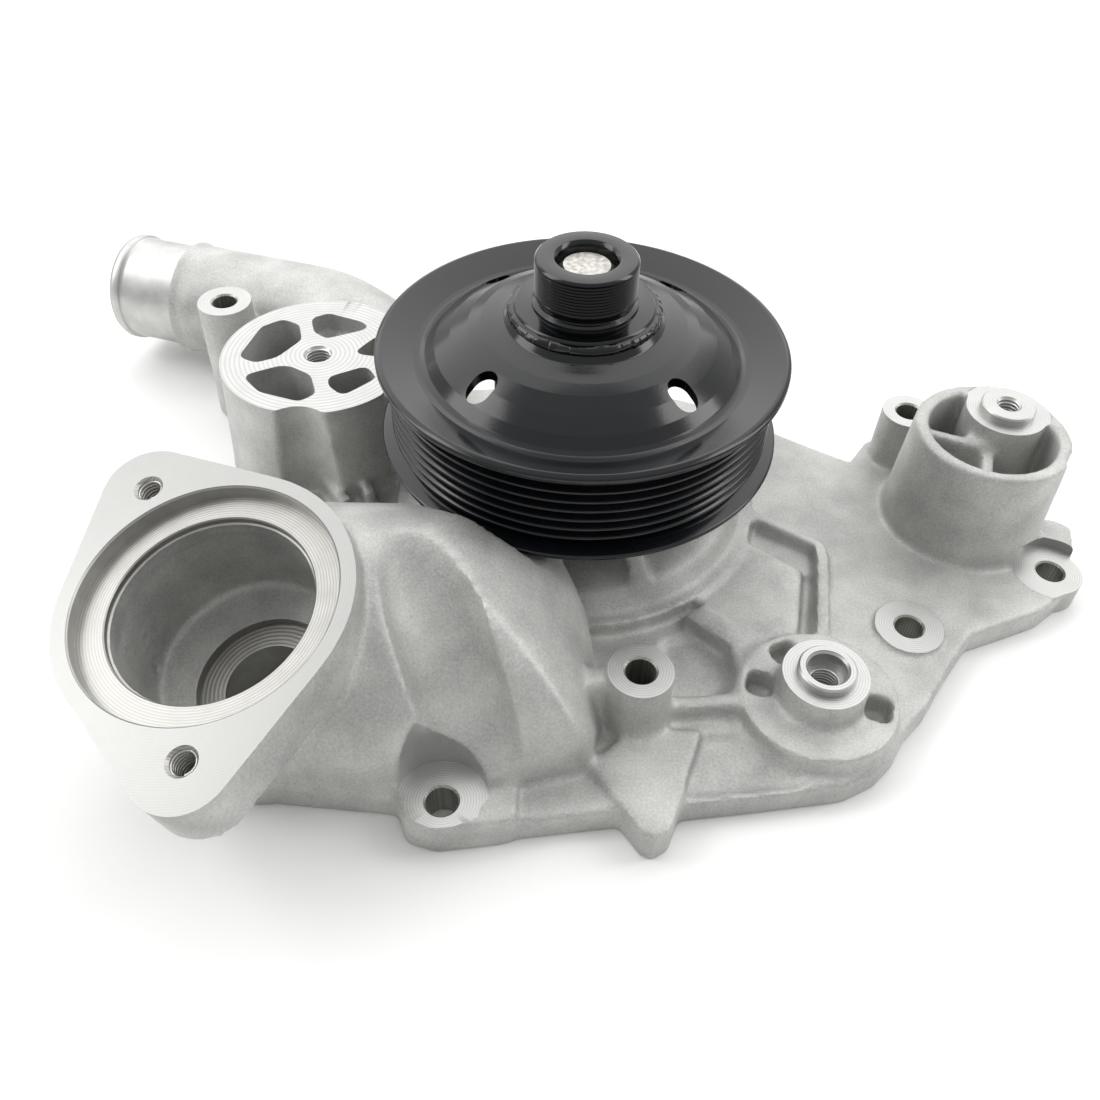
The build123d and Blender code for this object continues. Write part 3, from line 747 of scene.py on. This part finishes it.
finishes["pulley"] = ecoat("blackEcoatSteel", ("#05070a", "#0a0d12"), (0.11, 0.2))
finishes["hub"] = ecoat("blackEcoatTurnedSteel", ("#020304", "#05070a"), (0.1, 0.18), 0.6, 0.03)

outline = [(21.8, 89.2), (22.6, 89.2), (24.9, 86.3), (28, 85.7), (32, 84.9), (36, 83.4), (41.5, 80.5),
           (46.5, 77.3), (49.6, 74.6), (51.3, 73.8), (53.2, 74.1), (63.2, 78.0), (65.0, 77.2), (65.0, 75.6),
           (63.6, 74.2), (61.5, 72.2)]
for k in range(sheet["grooves"]):
    mid = sheet["firstGroove"] - sheet["pitch"] * k
    outline += [(sheet["ridge"], mid + sheet["half"]), (sheet["root"], mid + sheet["flat"]),
                (sheet["root"], mid - sheet["flat"]), (sheet["ridge"], mid - sheet["half"])]
outline += [(65.0, 47.2), (65.0, 45.8), (61.5, 46.0), (56.6, 48.0), (56.6, 70.6), (54.0, 71.3), (51.3, 71.0),
            (48.4, 71.9), (45.0, 75.0), (40.3, 78.0), (35.2, 80.7), (31.4, 82.1), (25.5, 83.2), (21.8, 84.0)]
clean = [outline[0]]
for spot in outline[1:]:
    if math.dist(spot, clean[-1]) > 0.05:
        clean.append(spot)
pulleyMesh = latheMesh("belt_pulley", rounded(clean, sheet["bend"], 3), sheet["steps"])
pulley = addPiece("belt_pulley", finished(pulleyMesh, finishes["pulley"]))
for k in range(4):
    turn = math.radians(sheet["holeTurn"] + 90 * k)
    half = sheet["holeLong"] / 2 - sheet["holeR"]
    ring = []
    for n in range(40):
        a = 2 * math.pi * n / 40
        lx = sheet["holeR"] * math.cos(a) + math.copysign(half, math.cos(a))
        ly = sheet["holeR"] * math.sin(a)
        lx += sheet["holeAt"]
        ring.append((lx * math.cos(turn) - ly * math.sin(turn), lx * math.sin(turn) + ly * math.cos(turn)))
    cut(pulley, addPiece("slot", finished(prismMesh("slot", ring, 66, 92), finishes["pulley"])))
softEdges(pulley, 32)
placed(pulley, "rotor", "pulley_coat", "pulley")
say("pulley is spun")


# hub, weld and nose thread

outline = [(9.0, 75.0), (15.2, 75.0), (17.2, 78.0), (17.2, 83.0), (21.8, 84.0), (21.8, 90.9), (21.2, 91.5),
           (16.3, 91.5), (16.3, 92.6), (14.9, 93.2), (14.9, 94.6), (15.7, 95.4)]
z = 96.0
while z < 105.6:
    outline += [(15.7, z), (15.34, z + 0.5)]
    z += 1.0
outline += [(15.7, 106.2), (14.9, 107.0), (10.0, 107.0), (9.0, 106.0)]
hub = addPiece("fan_hub", finished(latheMesh("fan_hub", rounded(outline, 0.25, 2), 160), finishes["hub"]))
softEdges(hub, 30)
placed(hub, "rotor", "hub_coat", "hub")

random.seed(12)
ripples = {"count": 46, "high": 0.42}
puddles = range(ripples["count"])
starts = [(k + random.uniform(-0.25, 0.25)) / ripples["count"] for k in puddles]
sizes = [random.uniform(0.4, 1.0) for k in puddles]


def weldWave(r, z, turn):
    # each puddle of the torch stands a little over the last one
    share = turn / (2 * math.pi)
    best, lift = 1.0, 0.0
    for start, size in zip(starts, sizes):
        gap = (share - start) % 1.0
        if gap < best:
            best, lift = gap, size
    puddle = lift * ripples["high"] * (1 - min(1.0, best * ripples["count"])) ** 0.6
    wander = 0.35 * noise.noise(Vector((math.cos(turn) * 3, math.sin(turn) * 3, z * 0.4)))
    if r < 22.0:
        return r, z
    out = (r - 21.6) / 2.0
    return r + out * (puddle + wander) * 0.9, z + out * (puddle * 0.4 + wander)


bead = [(21.7, 88.4), (22.7, 87.6), (23.5, 88.2), (23.7, 89.0), (23.4, 89.9), (22.8, 90.5), (22.0, 90.8),
        (21.7, 90.8)]
weldMesh = latheMesh("weld_bead", rounded(bead, 0.4, 2), 460, weldWave)
weld = addPiece("weld_bead", finished(weldMesh, finishes["hub"]))
softEdges(weld, 60)
placed(weld, "rotor", "weld_steel", "hub_weld")
say("hub is turned and welded")


# the CAD pieces that stay, with their finishes

finishes.update({
    # sawn end: coarse bright scratches
    "shaft": evenFinish("sawnShaftSteel", "#8d8b86", "#cfccc6", (0.28, 0.5), size=1.6, depth=0.12, grit=0.9),
    # ground steel: bright, with a soft sheen
    "bearing": evenFinish("groundBearingSteel", "#a9abad", "#c9cacb", (0.16, 0.28), size=4.0),
    # lapped steel: almost a mirror
    "ball": evenFinish("lappedBallSteel", "#c4c5c7", "#d8d9da", (0.06, 0.12), size=2.0, depth=0.004),
    # moulded nylon: warm cream, half dull
    "cage": evenFinish("mouldedNylonCage", "#b9a878", "#cbbb8c", (0.42, 0.55), 0.0, 3.0, 0.03),
    # moulded nitrile: dull and nearly black
    "rubber": evenFinish("mouldedNitrileRubber", "#16171a", "#24262a", (0.5, 0.66), 0.0, 2.5, 0.05),
    # drawn stainless: grey with a clean sheen
    "sealSteel": evenFinish("drawnStainlessSteel", "#a8a9aa", "#c3c4c5", (0.22, 0.34), size=5.0),
    # drawn wire: a little darker and duller
    "spring": evenFinish("drawnSpringSteel", "#8e9194", "#b0b3b6", (0.24, 0.36), size=1.0),
    # pressed graphite: dark grey with a fine speckle
    "carbon": evenFinish("pressedCarbonGraphite", "#1b1c1e", "#2d2e31", (0.4, 0.55), 0.0, 0.8, 0.02),
    # lapped alumina: ivory and smooth
    "ceramic": evenFinish("lappedAluminaCeramic", "#e2ddcf", "#efece2", (0.2, 0.3), 0.0, 2.0, 0.004),
    # stamped and zinc plated: grey with cloudy patches
    "impeller": evenFinish("stampedZincedSteel", "#8f9396", "#b5b8ba", (0.3, 0.46), size=6.0, depth=0.03),
})
wear = {
    "pump_shaft": "shaft", "bearing_outer_ring": "bearing", "front_balls": "ball", "rear_balls": "ball",
    "front_ball_cage": "cage", "rear_ball_cage": "cage", "front_bearing_seal": "rubber",
    "rear_bearing_seal": "rubber", "slinger": "sealSteel", "seal_cup": "sealSteel", "seal_bellows": "rubber",
    "seal_spring": "spring", "carbon_ring": "carbon", "ceramic_ring": "ceramic",
    "ceramic_ring_boot": "rubber", "impeller": "impeller",
}
for nodeName, finishName in wear.items():
    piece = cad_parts[nodeName]
    for slotSpot in piece.material_slots:
        slotSpot.material = finishes[finishName]
say("inner pieces are finished")
